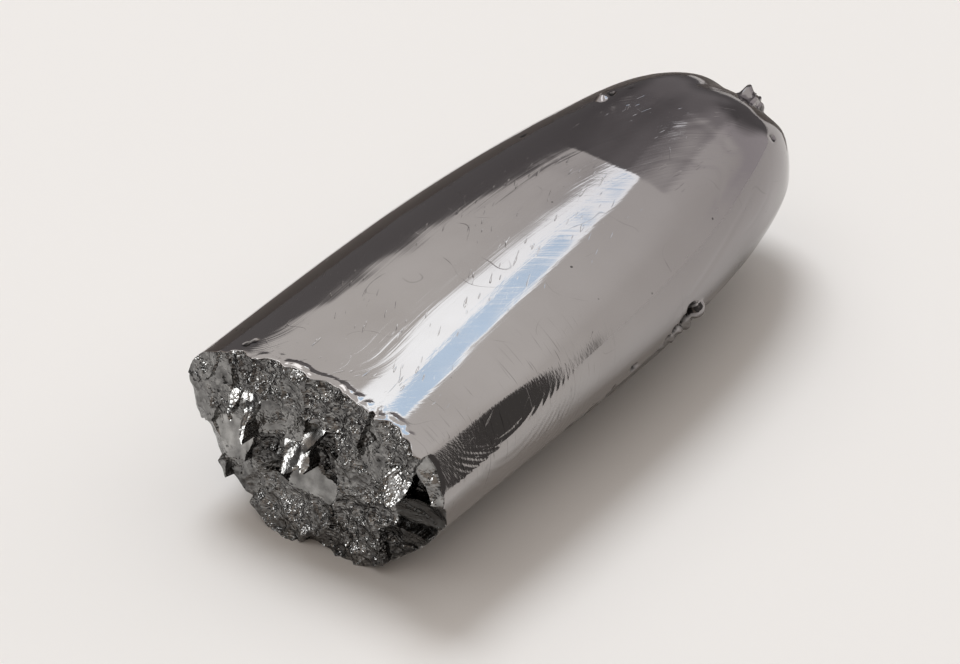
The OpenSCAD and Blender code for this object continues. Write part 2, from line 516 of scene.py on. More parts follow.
@dataclass(frozen=True)
class SkinRelief:
    """Relief of the skin over the loft, in mm, by the distance from the break and the angle in degrees."""

    pool: Swell = Swell(0.020, (9.0, 3.5, 3.5), 1.3)
    fine: Swell = Swell(0.0045, (3.0, 0.8, 0.8), 5.7)
    shoulder: Swell = Swell(0.005, (1.8, 0.55, 0.55), 8.8)
    shoulder_arc: Band = Band(40, 15, 98, 12)
    strip_edge: Swell = Swell(0.004, (1.3, 1.3, 1.3), 12.4)
    strip_arc: Bell = Bell(117, 8)
    strip_turn: float = 0.5
    nose: Swell = Swell(0.012, (1.6, 1.6, 1.6), 2.9)
    nose_run: Ramp = Ramp(19, 8)
    fold: Swell = Swell(1.0, (3.2, 2.6, 2.6), 7.3)
    fold_line: Bell = Bell(0, 0.05)
    fold_depth: float = 0.008
    crown_arc: Band = Band(70, 20, 150, 30)
    crown_slope: float = 0.05
    crown_start: float = 21.6
    crown_run: float = 5.5
    crease_line: Bell = Bell(19.8, 0.6)
    crease_arc: Band = Band(154, 8, 186, 8)
    crease_foot: float = 178.0
    crease_turn: float = 0.34
    crease_depth: float = 0.022
    wave_height: float = 0.04
    wave_length: float = 10.0
    wave_first: float = 3.5
    wave_arc: Band = Band(136, 14, 184, 10)
    wave_run: Ramp = Ramp(13, -4)
    rim_roll: float = 0.06
    rim_line: Bell = Bell(0.36, 0.2)
    rim_arc: Band = Band(62, 12, 140, 12)
    rim_share: float = 0.35
    rim_ragged: Swell = Swell(1.3, (0.35, 0.35, 0.35), 6.1)
    mark_wobble: float = 0.25
    mark_cell: tuple[float, float, float] = (0.35, 0.35, 0.35)
    pit_power: float = 1.5
    # Painted shade in the pits, darker towards their middle
    pit_shade_ramp: Ramp = Ramp(1.05, -0.35)
    marks: tuple[Mark, ...] = (
        Mark(32.3, 104, 0.55, 0.55),
        Mark(32.6, 113, 0.35, 0.30),
        Mark(32.5, 109, 0.20, -0.35),
        Mark(32.4, 120, 0.30, -0.25),
        Mark(32.1, 100, 0.24, 0.26),
        Mark(32.3, 106, 0.17, -0.30),
        Mark(32.0, 111, 0.19, 0.22),
        Mark(30.5, 144, 0.25, -0.20),
        Mark(20.8, 190, 0.44, 0.34),
        Mark(20.1, 186, 0.52, -0.36),
        Mark(19.5, 189, 0.42, -0.34),
        Mark(20.0, 195, 0.26, 0.20),
        Mark(19.3, 193, 0.24, 0.18),
        Mark(18.8, 190, 0.30, -0.24),
        Mark(18.2, 193, 0.26, -0.20),
        Mark(18.6, 195, 0.22, 0.16),
        Mark(17.7, 195, 0.18, 0.12),
        Mark(15.3, 193, 0.30, -0.25),
        Mark(13.8, 197, 0.22, -0.20),
        Mark(13.0, 200, 0.25, 0.12),
        Mark(11.2, 208, 0.40, -0.25),
        Mark(26.0, 66, 0.32, 0.20),
        Mark(26.45, 67, 0.28, -0.14),
        Mark(27.2, 72, 0.12, -0.10),
        Mark(21.6, 56, 0.18, -0.06),
        Mark(0.95, 54, 0.22, -0.05),
        Mark(1.30, 56, 0.18, -0.04),
    )

    def uneven(self, points: Array, x: Array, degrees: Array) -> Array:
        """Waves, folds and drops of the frozen skin.

        Args:
            points: points of the loft.
            x: distance of each from the break.
            degrees: angle of each round the section.

        Returns:
            Heights along the outward normal, in mm.
        """
        nose = self.nose_run.of(x)
        total = self.pool.at(points) + self.fine.at(points)
        total = total + self.shoulder_arc.of(degrees) * self.shoulder.at(points)
        total = total + self.strip_arc.of(degrees + self.strip_turn * x) * self.strip_edge.at(points)
        total = total + nose * self.nose.at(points)
        total = total - self.fold_depth * nose * self.fold_line.of(np.abs(self.fold.at(points)))
        drop = self.crown_slope * np.clip(x - self.crown_start, 0, self.crown_run)
        total = total - drop * self.crown_arc.of(degrees)
        crease = self.crease_line.of(x + self.crease_turn * (degrees - self.crease_foot))
        total = total - self.crease_depth * crease * self.crease_arc.of(degrees)
        wave = self.wave_height * np.cos(2 * np.pi * (x - self.wave_first) / self.wave_length)
        return total - wave * self.wave_arc.of(degrees) * self.wave_run.of(x)

    def marked(self, points: Array, form: BarForm) -> tuple[Array, Array]:
        """Pits and droplets.

        Args:
            points: points of the loft.
            form: the loft itself.

        Returns:
            Heights along the outward normal, and the share of painted shade in the pits.
        """
        height, soot = np.zeros(points.shape[:-1]), np.zeros(points.shape[:-1])
        for mark in self.marks:
            middle = form.skin(np.array([mark.x]), np.radians([mark.degrees]))[0]
            away = points - middle
            wobble = 1 + self.mark_wobble * noise_at(away, self.mark_cell, mark.x)
            gap = np.sqrt((away ** 2).sum(-1)) / (mark.radius * wobble)
            inside = np.maximum(1 - gap ** 2, 0)
            if mark.height > 0:
                height = height + mark.height * np.sqrt(inside)
            else:
                height = height + mark.height * inside ** self.pit_power
                # Painted shade: the pits are painted darker
                soot = np.maximum(soot, self.pit_shade_ramp.of(gap))
        return height, soot

    def rim(self, points: Array, station: Array, degrees: Array) -> Array:
        """Height of the roll that the snap pushed up along the upper rim, by the distance from the rim."""
        ragged = np.clip(self.rim_share + self.rim_ragged.at(points), 0, 1)
        return self.rim_roll * self.rim_line.of(station) * ragged * self.rim_arc.of(degrees)


@dataclass(frozen=True)
class SkinPoints:
    """Rings of skin points: distance from the break, angle in degrees and painted pit shade of each, in mm.
    """

    rings: Array
    x: Array
    degrees: Array
    soot: Array


@dataclass(frozen=True)
class SkinWear:
    """Where the skin is brushed, hatched, scratched, rippled, dull or painted in shade, in mm and degrees.
    """

    shoulder_edge: Course = Course((0, 6, 10, 16, 20, 24), (66, 69, 74, 82, 87, 95))
    brush_line: Bell = Bell(0, 9)
    brush_least: float = 0.25
    brush_run: Ramp = Ramp(8, 5)
    rim_brush_line: Bell = Bell(92, 6)
    rim_brush_run: Ramp = Ramp(9, -4)
    seam: Course = Course((0, 10, 18, 22), (109, 105, 101, 99))
    hatch_line: Bell = Bell(3, 7)
    hatch_run: Ramp = Ramp(24, -4)
    hair_arc: Band = Band(118, 40, 205, 20)
    hair_run: Ramp = Ramp(15, -6)
    ripple_x: float = 5.0
    ripple_degrees: float = 108.0
    calm_arc: Ramp = Ramp(160, 12)
    calm_run: Band = Band(0.5, 2, 13, 4)
    # The skin below the lip is dull and painted in shade
    lip: Course = Course((0, 9, 11, 13, 15, 21, 26), (1.2, 1.9, 2.5, 3.5, 4.1, 4.5, 3.0))
    lip_ragged: Swell = Swell(0.12, (0.5, 0.5, 0.5), 4.4)
    lip_soft: float = 0.15
    lip_arc: Ramp = Ramp(140, 20)
    # Painted shade: a dull patch low on the flank by the nose is painted darker
    dull_and_shade_share: float = 0.75
    dull_and_shade_run: Bell = Bell(25, 2.2)
    dull_and_shade_arc: Ramp = Ramp(170, 18)

    def dull_skin_and_painted_shade(self, skin: SkinPoints) -> Array:
        """Skin that froze dull against the trough, and the dull patch by the nose, both painted in shade.

        Args:
            skin: points of the skin.

        Returns:
            Share of dull skin painted in shade at each point.
        """
        lip = self.lip.at(skin.x) + self.lip_ragged.at(skin.rings)
        under = ease((lip - skin.rings[..., 2]) / self.lip_soft) * self.lip_arc.of(skin.degrees)
        dull = self.dull_and_shade_share * self.dull_and_shade_run.of(skin.x) * self.dull_and_shade_arc.of(skin.degrees)
        return np.maximum(under, dull)

    def values(self, skin: SkinPoints, form: BarForm) -> dict[Attribute, Array]:
        """Wear of every point of the skin.

        Args:
            skin: points of the skin.
            form: the loft itself.

        Returns:
            The values of each attribute, ring by ring.
        """
        x, degrees = skin.x, skin.degrees
        brush = self.brush_line.of(degrees - self.shoulder_edge.at(x))
        brush = brush * (self.brush_least + (1 - self.brush_least) * self.brush_run.of(x))
        brush = brush + self.rim_brush_line.of(degrees) * self.rim_brush_run.of(x)
        middle = form.skin(np.array([self.ripple_x]), np.radians([self.ripple_degrees]))[0]
        return {
            Attribute.BRUSH: brush,
            Attribute.HATCH: self.hatch_line.of(degrees - self.seam.at(x)) * self.hatch_run.of(x),
            Attribute.HAIR: self.hair_arc.of(degrees) * self.hair_run.of(x),
            Attribute.PIT_SHADE: skin.soot,
            Attribute.RIPPLE: np.linalg.norm(skin.rings - middle, axis=-1) * MM,
            Attribute.CALM: self.calm_arc.of(degrees) * self.calm_run.of(x),
            Attribute.UNDER: self.dull_skin_and_painted_shade(skin),
        }


@dataclass
class BarMesh:
    """Fine mesh of the bar: skin and broken face joined at the rim."""

    form: BarForm = field(default_factory=BarForm)
    relief: BreakRelief = field(default_factory=BreakRelief)
    skin_relief: SkinRelief = SkinRelief()
    wear: SkinWear = SkinWear()
    around: int = 384
    rings: int = 185
    ring_samples: int = 4000
    rim_crowding: float = 2.2
    rim_reach: float = 0.9
    tip_crowding: float = 5.0
    tip_reach: float = 0.7
    spatter_crowding: float = 1.2
    spatter_run: Bell = Bell(20, 1.6)
    rim_run: float = 5.0
    relief_run: float = 0.25
    first_degrees: float = -60.0
    break_spacing: float = 0.078
    break_row: float = 0.866
    break_jitter: float = 0.25
    break_margin: float = 0.6
    break_merge: float = 1e-6

    def stations(self) -> Array:
        """Places of the rings along the bar.

        Returns:
            Distances from the break to just before the tip, closer at both ends and by the spatter.
        """
        length = self.form.length
        fine = np.linspace(0, length, self.ring_samples)
        density = 1 + self.rim_crowding * np.exp(-fine / self.rim_reach)
        density = density + self.tip_crowding * np.exp(-(length - fine) / self.tip_reach)
        density = density + self.spatter_crowding * self.spatter_run.of(fine)
        count = np.concatenate([[0], np.cumsum((density[1:] + density[:-1]) / 2)])
        return np.interp(np.linspace(0, 1, self.rings + 1)[:-1], count / count[-1], fine)

    def skin(self) -> SkinPoints:
        """Rings of skin points with the rim of the break as their first.

        Returns:
            The points, with the distance, angle and painted pit shade of each.
        """
        angle = np.radians(-90 + 360 * np.arange(self.around) / self.around)
        rim = self.form.skin(np.zeros(self.around), angle)
        rim_setback, _ = self.relief.setback(rim[:, 1], rim[:, 2], np.zeros(self.around))
        station = self.stations()[:, None]
        x = station + rim_setback[None] * np.maximum(1 - station / self.rim_run, 0) ** 2
        turn = np.broadcast_to(angle, x.shape)
        points = self.form.skin(x, turn)
        side = np.roll(points, -1, 1) - np.roll(points, 1, 1)
        normal = np.cross(side, np.gradient(points, axis=0))
        normal /= np.linalg.norm(normal, axis=-1, keepdims=True) + TINY
        # Angles count from the foot of the far flank over the crown to the near flank and the base
        degrees = np.degrees(np.where(turn < np.radians(self.first_degrees), turn + 2 * np.pi, turn))
        marked, soot = self.skin_relief.marked(points, self.form)
        height = self.skin_relief.uneven(points, x, degrees) + marked
        height = height + self.skin_relief.rim(points, station, degrees)
        points = points + normal * (height * ease(station / self.relief_run))[..., None]
        points[..., 2] = np.maximum(points[..., 2], 0)
        return SkinPoints(points, x, degrees, soot)

    def break_face(self, rim: Array) -> tuple[Array, list, Array]:
        """Broken face inside the rim.

        Args:
            rim: points of the rim in order.

        Returns:
            New points, triangles that count the rim first, and the smoothness and painted reflection tone of
            each new point.
        """
        pitch = self.break_spacing
        low, high = rim[:, 1:].min(0), rim[:, 1:].max(0)
        rows = np.arange(low[1], high[1], pitch * self.break_row)
        columns = np.arange(low[0], high[0], pitch)
        grid = np.stack(np.meshgrid(columns, rows), -1)
        grid[1::2, :, 0] += pitch / 2
        index = np.arange(grid[..., 0].size).reshape(grid.shape[:2])
        grid = grid + self.break_jitter * pitch * np.stack([scatter(index, 8), scatter(index, 9)], -1)
        inner = grid.reshape(-1, 2)
        edge = self.rim_distance(inner, rim[:, 1:])
        keep = edge > pitch * self.break_margin
        inner, edge = inner[keep], edge[keep]
        setback, looks = self.relief.setback(inner[:, 0], inner[:, 1], edge)
        flat = [Vector(p) for p in np.concatenate([rim[:, 1:], inner])]
        count = len(rim)
        borders = [(i, (i + 1) % count) for i in range(count)]
        made = geometry.delaunay_2d_cdt(flat, borders, [], INSIDE_BORDERS, self.break_merge)
        faces, origins = made[2], made[3]
        triangles = [tuple(origins[v][0] for v in face) for face in faces]
        return np.column_stack([setback, inner]), triangles, looks

    @staticmethod
    def rim_distance(points: Array, rim: Array) -> Array:
        """Distance of points inside the rim from it; negative outside.

        Args:
            points: places [across, up].
            rim: the rim's places in order.

        Returns:
            One distance for each point.
        """
        nearest = np.full(len(points), FAR)
        inside = np.zeros(len(points), bool)
        for start, end in zip(rim, np.roll(rim, -1, 0)):
            run = end - start
            share = np.clip(((points - start) @ run) / max(run @ run, TINY), 0, 1)
            nearest = np.minimum(nearest, np.linalg.norm(points - start - share[:, None] * run, axis=1))
            crosses = (start[1] > points[:, 1]) != (end[1] > points[:, 1])
            rise = run[1] if abs(run[1]) > TINY else TINY
            inside ^= crosses & (points[:, 0] < start[0] + run[0] * (points[:, 1] - start[1]) / rise)
        return np.where(inside, nearest, -nearest)

    def skin_faces(self, count: int) -> list[tuple[int, ...]]:
        """Faces between the rings and the cap at the tip, whose point follows the last ring.

        Args:
            count: number of rings.

        Returns:
            Point numbers of each face.
        """
        around = self.around
        faces = []
        for low in range(0, (count - 1) * around, around):
            for j in range(around):
                k = (j + 1) % around
                faces.append((low + j, low + k, low + around + k, low + around + j))
        last, tip = (count - 1) * around, count * around
        return faces + [(last + j, last + (j + 1) % around, tip) for j in range(around)]

    def build(self, shift: Vector) -> bpy.types.Object:
        """Makes the bar's mesh object.

        Args:
            shift: move from the loft's own origin to the frame's, in mm.

        Returns:
            The object, in metres, with its zones and attributes.
        """
        skin = self.skin()
        tip = self.form.skin(np.array([self.form.length]), np.zeros(1))
        face, triangles, looks = self.break_face(skin.rings[0])
        points = np.concatenate([skin.rings.reshape(-1, 3), tip, face])
        skin_faces = self.skin_faces(len(skin.rings))
        # The broken face's own points follow the rings and the tip
        offset = len(skin.rings) * self.around + 1 - self.around
        broken = [tuple(v if v < self.around else v + offset for v in t)[::-1] for t in triangles]
        mesh = bpy.data.meshes.new("bar")
        mesh.from_pydata((points + np.array(shift)) * MM, [], skin_faces + broken)
        zone = np.full(len(mesh.polygons), Zone.SKIN.value, np.int32)
        zone[len(skin_faces):] = Zone.BREAK.value
        mesh.polygons.foreach_set("material_index", zone)
        mesh.polygons.foreach_set("use_smooth", zone == Zone.SKIN.value)
        self.write_attributes(mesh, skin, face, looks)
        mesh.validate()
        mesh.update()
        piece = bpy.data.objects.new("bar_as_melted", mesh)
        bpy.context.scene.collection.objects.link(piece)
        return piece

    def write_attributes(self, mesh: bpy.types.Mesh, skin: SkinPoints, face: Array, looks: Array) -> None:
        """Stores what the finishes read from the mesh.

        Args:
            mesh: the bar's mesh.
            skin: points of the skin.
            face: points of the broken face.
            looks: smoothness and painted reflection tone of each of them.
        """
        step = np.linalg.norm(np.diff(skin.rings, axis=1), axis=-1)
        girth = np.concatenate([np.zeros((len(skin.rings), 1)), np.cumsum(step, 1)], 1)
        flow = np.stack([skin.x, girth, 0 * skin.x], -1).reshape(-1, 3)
        flow = np.concatenate([flow, flow[-1:], np.roll(face, -1, 1)]) * MM
        worn = self.wear.values(skin, self.form)
        on_skin, off_skin = np.ones(skin.x.size + 1), np.zeros(1 + len(face))
        values = {name: np.concatenate([value.ravel(), off_skin]) for name, value in worn.items()}
        values[Attribute.FLAT] = np.concatenate([0 * on_skin, looks[:, 0]])
        values[Attribute.PAINTED_REFLECTION_TONE] = np.concatenate([on_skin, looks[:, 1]])
        stored = mesh.attributes.new(Attribute.FLOW.value, "FLOAT_VECTOR", "POINT")
        stored.data.foreach_set("vector", flow.astype(np.float32).ravel())
        for name, value in values.items():
            stored = mesh.attributes.new(name.value, "FLOAT", "POINT")
            stored.data.foreach_set("value", value.astype(np.float32))


@dataclass(frozen=True)
class Span:
    """Range of a value, and what its two ends are mapped onto."""

    low: float
    high: float
    at_low: float = 0.0
    at_high: float = 1.0

    def of(self, value: Source) -> dict[str, object]:
        """Inputs of a node that maps a value over this range."""
        ends = {"From Min": self.low, "From Max": self.high, "To Min": self.at_low, "To Max": self.at_high}
        return {"Value": value, **ends}


@dataclass(frozen=True)
class Lines:
    """Noise drawn out into lines: their turn in radians, stretch, pitch in mm, detail and wander."""

    turn: float
    stretch: float
    pitch_mm: float
    detail: float = 3.0
    wander: float = 0.4

    def add(self, tree: Tree, flow: Socket) -> Node:
        """Adds the lines to a material.

        Args:
            tree: the material's nodes.
            flow: place along and round the bar.

        Returns:
            The noise node.
        """
        turned = add_node(tree, "Mapping", {0: flow, "Rotation": (0, 0, self.turn)})
        drawn = add_node(tree, "Mapping", {0: turned, "Scale": (self.stretch, 1.0, 1.0)})
        looks = {"Scale": 1 / (self.pitch_mm * MM), "Detail": self.detail, "Distortion": self.wander}
        return add_node(tree, "TexNoise", {"Vector": drawn, **looks})


@dataclass(frozen=True)
class Stroke:
    """Strokes on the skin: their lines, depth in mm and strength, and the attribute of where they lie."""

    lines: Lines
    depth_mm: float
    share: float
    zone: Attribute | None = None


@dataclass(frozen=True)
class Bump:
    """Layer of fine relief: its height, its depth in mm, its strength and whether it goes into the metal."""

    height: Source
    depth_mm: float
    strength: Source | float
    inward: bool = False


class MetalFinish:
    """Bare metal: what the bar's finishes share."""

    name: str
    reads: tuple[Attribute, ...]

    def looks(self, tree: Tree, where: Socket, given: Given) -> dict[str, Source]:
        """Colour, roughness and normal, which each finish makes in its own way."""
        raise NotImplementedError

    @staticmethod
    def bumped(tree: Tree, bumps: list[Bump]) -> Node:
        """Bends the normal by one layer of relief after the other.

        Args:
            tree: the material's nodes.
            bumps: the layers in order.

        Returns:
            The node with the bent normal.
        """
        before = {}
        for bump in bumps:
            inputs = {"Height": bump.height, "Distance": bump.depth_mm * MM, "Strength": bump.strength}
            node = add_node(tree, "Bump", {**inputs, **before}, invert=bump.inward)
            before = {"Normal": node}
        return node

    def build(self) -> bpy.types.Material:
        """Makes the material.

        Returns:
            The finished material.
        """
        material = bpy.data.materials.new(self.name)
        material.use_nodes = True
        tree = material.node_tree
        tree.nodes.clear()
        where = add_node(tree, "TexCoord", {}).outputs["Object"]
        given = {
            name: add_node(tree, "Attribute", {}, attribute_name=name.value).outputs[name.output]
            for name in self.reads
        }
        shader = add_node(tree, "BsdfPrincipled", {"Metallic": 1.0, **self.looks(tree, where, given)})
        add_node(tree, "OutputMaterial", {"Surface": shader})
        return material


@dataclass(frozen=True)
class BrightMelt(MetalFinish):
    """Ruthenium frozen bright from an electron-beam melt."""

    # The eye sees a grey mirror, sharp on the crown, that fine strokes, frozen waves and the scratches of
    # handling break up. Its pits, grooves and scratches carry painted shade, and below the lip it is dull
    # from the cold trough and painted in shade.
    name: str = "ruthenium_bright_from_melt"
    reads: tuple[Attribute, ...] = (
        Attribute.FLOW, Attribute.HATCH, Attribute.HAIR, Attribute.BRUSH, Attribute.PIT_SHADE,
        Attribute.RIPPLE, Attribute.UNDER, Attribute.CALM,
    )
    colour: str = "#A9A6A5"
    tarnish: str = "#9C9896"
    tint_mm: float = 3.0
    # Paints the skin darker towards the nose
    nose_dark_colour: str = "#8F8B8C"
    nose_dark_run: Span = Span(8 * MM, 27 * MM, 0.0, 0.9)
    # Painted shade in the pits, grooves and scratches
    painted_shade: str = "#2E2C2B"
    # Painted shade of the dull skin below the lip and by the nose
    dull_skin_and_painted_shade: str = "#6E6A67"
    roughness: float = 0.065
    scratch_roughness: float = 0.13
    trough_roughness: float = 0.35
    # Real strokes lie some hundredths of a millimetre apart, too fine to show, so these are coarser
    strokes: tuple[Stroke, ...] = (
        Stroke(Lines(0.0, 0.02, 0.16, 2.0, 0.0), 0.004, 0.6),
        Stroke(Lines(0.06, 0.03, 0.34), 0.010, 0.9, Attribute.BRUSH),
        Stroke(Lines(0.30, 0.10, 0.24), 0.002, 0.9, Attribute.HATCH),
        Stroke(Lines(-0.75, 0.12, 0.24), 0.003, 0.9, Attribute.HATCH),
        Stroke(Lines(1.25, 0.10, 0.14), 0.004, 0.9, Attribute.HAIR),
        Stroke(Lines(1.85, 0.08, 0.14), 0.003, 0.8, Attribute.HAIR),
    )
    wave_mm: float = 0.27
    wave_depth_mm: float = 0.003
    curl_mm: float = 4.2
    curl_wander: float = 0.3
    curl_line: Span = Span(0.0, 0.0035, 1.0, 0.0)
    scratch_run_mm: float = 1.5
    scratch_runs: Span = Span(0.5, 0.62)
    scratch_depth_mm: float = 0.002
    scratch_share: float = 0.5
    # Painted shade along the scratches
    scratch_shade: float = 0.22
    nicks: Lines = Lines(0.45, 0.14, 0.17, 1.0, 0.0)
    nick_cut: Span = Span(0.67, 0.73)
    nick_patches: Span = Span(0.45, 0.55)
    nick_depth_mm: float = 0.004
    # Painted shade in the grooves across the flank and in fine pits
    grooves: Lines = Lines(1.4, 0.06, 0.13, 2.0, 0.6)
    groove_shade: Span = Span(0.63, 0.72, 0.0, 0.55)
    pit_spacing_mm: float = 1.7
    fine_pit_shade: Span = Span(0.03, 0.05, 0.8, 0.0)

    def scratches(self, tree: Tree, where: Socket) -> Node:
        """Hair-thin curved scratches of handling: short runs of a slow noise's middle contour.

        Args:
            tree: the material's nodes.
            where: place on the object.

        Returns:
            The node that gives 1 on a scratch and 0 off it.
        """
        slow = {"Scale": 1 / (self.curl_mm * MM), "Detail": 1.0, "Distortion": self.curl_wander}
        curls = add_node(tree, "TexNoise", {"Vector": where, **slow})
        off_line = add_node(tree, "Math", {0: curls, 1: NOISE_MIDDLE}, operation="SUBTRACT")
        gap = add_node(tree, "Math", {0: off_line}, operation="ABSOLUTE")
        line = add_node(tree, "MapRange", self.curl_line.of(gap))
        short = {"Scale": 1 / (self.scratch_run_mm * MM), "Detail": 1.0}
        runs = add_node(tree, "TexNoise", {"Vector": where, **short})
        run = add_node(tree, "MapRange", self.scratch_runs.of(runs))
        return add_node(tree, "Math", {0: line, 1: run}, operation="MULTIPLY")

    def painted_shade_marks(self, tree: Tree, where: Socket, given: Given, scratch: Node) -> Node:
        """Painted shade in the grooves across the flank, in fine pits, in the scratches and in the large
        pits.

        Args:
            tree: the material's nodes.
            where: place on the object.
            given: the mesh's values.
            scratch: 1 on a scratch and 0 off it.

        Returns:
            The node with the share of dirt.
        """
        grooves = self.grooves.add(tree, given[Attribute.FLOW])
        line = add_node(tree, "MapRange", self.groove_shade.of(grooves))
        painted_shade = add_node(tree, "Math", {0: line, 1: given[Attribute.HAIR]}, operation="MULTIPLY")
        cells = add_node(tree, "TexVoronoi", {"Vector": where, "Scale": 1 / (self.pit_spacing_mm * MM)})
        pit = add_node(tree, "MapRange", self.fine_pit_shade.of(cells.outputs["Distance"]))
        scratch_shaded = add_node(tree, "Math", {0: scratch, 1: self.scratch_shade}, operation="MULTIPLY")
        for other in (pit, scratch_shaded, given[Attribute.PIT_SHADE]):
            painted_shade = add_node(tree, "Math", {0: painted_shade, 1: other}, operation="MAXIMUM")
        return painted_shade

    def relief(self, tree: Tree, given: Given, scratch: Node, tint: Node) -> Node:
        """Strokes, the waves in which the pool's edge froze, scratches, and short nicks of knocks.

        Args:
            tree: the material's nodes.
            given: the mesh's values.
            scratch: 1 on a scratch and 0 off it.
            tint: slow noise, which says where knocks fell.

        Returns:
            The node with the bent normal.
        """
        flow = given[Attribute.FLOW]
        bumps = []
        for stroke in self.strokes:
            share = stroke.share
            if stroke.zone:
                share = add_node(tree, "Math", {0: given[stroke.zone], 1: share}, operation="MULTIPLY")
            bumps.append(Bump(stroke.lines.add(tree, flow), stroke.depth_mm, share))
        turns = {0: given[Attribute.RIPPLE], 1: math.tau / (self.wave_mm * MM)}
        phase = add_node(tree, "Math", turns, operation="MULTIPLY")
        wave = add_node(tree, "Math", {0: phase}, operation="SINE")
        nick = add_node(tree, "MapRange", self.nick_cut.of(self.nicks.add(tree, flow)))
        knocked = add_node(tree, "MapRange", self.nick_patches.of(tint))
        bumps.append(Bump(wave, self.wave_depth_mm, given[Attribute.CALM]))
        bumps.append(Bump(scratch, self.scratch_depth_mm, self.scratch_share, True))
        bumps.append(Bump(nick, self.nick_depth_mm, knocked, True))
        return self.bumped(tree, bumps)

    def looks(self, tree: Tree, where: Socket, given: Given) -> dict[str, Source]:
        """Colour, roughness and normal of the skin.

        Args:
            tree: the material's nodes.
            where: place on the object.
            given: the mesh's values.

        Returns:
            The shader's inputs by name.
        """
        # Share of the dull skin that is painted in shade
        under = given[Attribute.UNDER]
        tint = add_node(tree, "TexNoise", {"Vector": where, "Scale": 1 / (self.tint_mm * MM), "Detail": 4.0})
        scratch = self.scratches(tree, where)
        # The skin is painted darker towards the nose
        place = add_node(tree, "SeparateXYZ", {0: given[Attribute.FLOW]})
        nose_dark = add_node(tree, "MapRange", self.nose_dark_run.of(place))
        # Painted shade in the pits, grooves and scratches
        painted_shade = self.painted_shade_marks(tree, where, given, scratch)
        layers = (
            (tint, self.tarnish), (nose_dark, self.nose_dark_colour), (painted_shade, self.painted_shade), (under, self.dull_skin_and_painted_shade)
        )
        colour = linear(self.colour)
        for share, other in layers:
            mix = {"Factor": share, "A": colour, "B": linear(other)}
            colour = add_node(tree, "Mix", mix, data_type="RGBA")
        bright = add_node(tree, "MapRange", Span(0, 1, self.roughness, self.scratch_roughness).of(scratch))
        dull = {"Value": under, "To Min": bright, "To Max": self.trough_roughness}
        rough = add_node(tree, "MapRange", dull)
        normal = self.relief(tree, given, scratch, tint)
        return {"Base Color": colour, "Roughness": rough, "Normal": normal}


@dataclass(frozen=True)
class CrystalBreak(MetalFinish):
    """Ruthenium snapped across its crystals."""

    # The eye sees grey facets that flash or go dark as they turn, with dull, sparkling grain between them
    name: str = "ruthenium_snapped_crystal"
    reads: tuple[Attribute, ...] = (Attribute.FLAT, Attribute.PAINTED_REFLECTION_TONE)
    colour: str = "#C2C2C0"
    dark: str = "#434242"
    # Painted reflection: the near-black of crystals that mirror dark surroundings
    painted_dark_reflection: str = "#242322"
    roughness: Span = Span(0.0, 1.0, 0.16, 0.2)
    grain_mm: float = 0.16
    grain_depth_mm: float = 0.07
    grain_left: Span = Span(0.0, 1.0, 1.0, 0.1)
    grain_patches: Span = Span(0.35, 0.6, 0.35, 1.0)
    patch_mm: float = 0.8
    patch_depth_mm: float = 0.03
    patch_share: float = 0.5
    cleaved_patches: Span = Span(0.2, 0.7)

    def looks(self, tree: Tree, where: Socket, given: Given) -> dict[str, Source]:
        """Colour, roughness and normal of the break.

        Args:
            tree: the material's nodes.
            where: place on the object.
            given: the mesh's values.

        Returns:
            The shader's inputs by name.
        """
        flat = given[Attribute.FLAT]
        grains = add_node(tree, "TexVoronoi", {"Vector": where, "Scale": 1 / (self.grain_mm * MM)})
        noise_looks = {"Scale": 1 / (self.patch_mm * MM), "Detail": 4.0}
        patches = add_node(tree, "TexNoise", {"Vector": where, **noise_looks})
        # Hollows between fine grains hold light back, so grainy zones look darker than cleaved facets
        grey = add_node(tree, "SeparateColor", {0: grains.outputs["Color"]})
        grainy = add_node(tree, "Math", {0: grey, 1: patches}, operation="MULTIPLY")
        bright = add_node(tree, "MapRange", self.cleaved_patches.of(patches))
        cleaved = add_node(tree, "Math", {0: flat, 1: bright}, operation="MULTIPLY")
        lift = add_node(tree, "Math", {0: grainy, 1: cleaved}, operation="MAXIMUM")
        mix = {"Factor": lift, "A": linear(self.dark), "B": linear(self.colour)}
        colour = add_node(tree, "Mix", mix, data_type="RGBA")
        # Painted reflection: crystals with a low tone are painted towards near-black, as if they mirrored
        # dark surroundings
        mix = {"Factor": given[Attribute.PAINTED_REFLECTION_TONE], "A": linear(self.painted_dark_reflection), "B": colour}
        colour = add_node(tree, "Mix", mix, data_type="RGBA")
        rough = add_node(tree, "MapRange", self.roughness.of(flat))
        left = add_node(tree, "MapRange", self.grain_left.of(flat))
        uneven = add_node(tree, "MapRange", self.grain_patches.of(patches))
        strength = add_node(tree, "Math", {0: left, 1: uneven}, operation="MULTIPLY")
        bumps = [
            Bump(grains.outputs["Distance"], self.grain_depth_mm, strength),
            Bump(patches, self.patch_depth_mm, self.patch_share),
        ]
        return {"Base Color": colour, "Roughness": rough, "Normal": self.bumped(tree, bumps)}


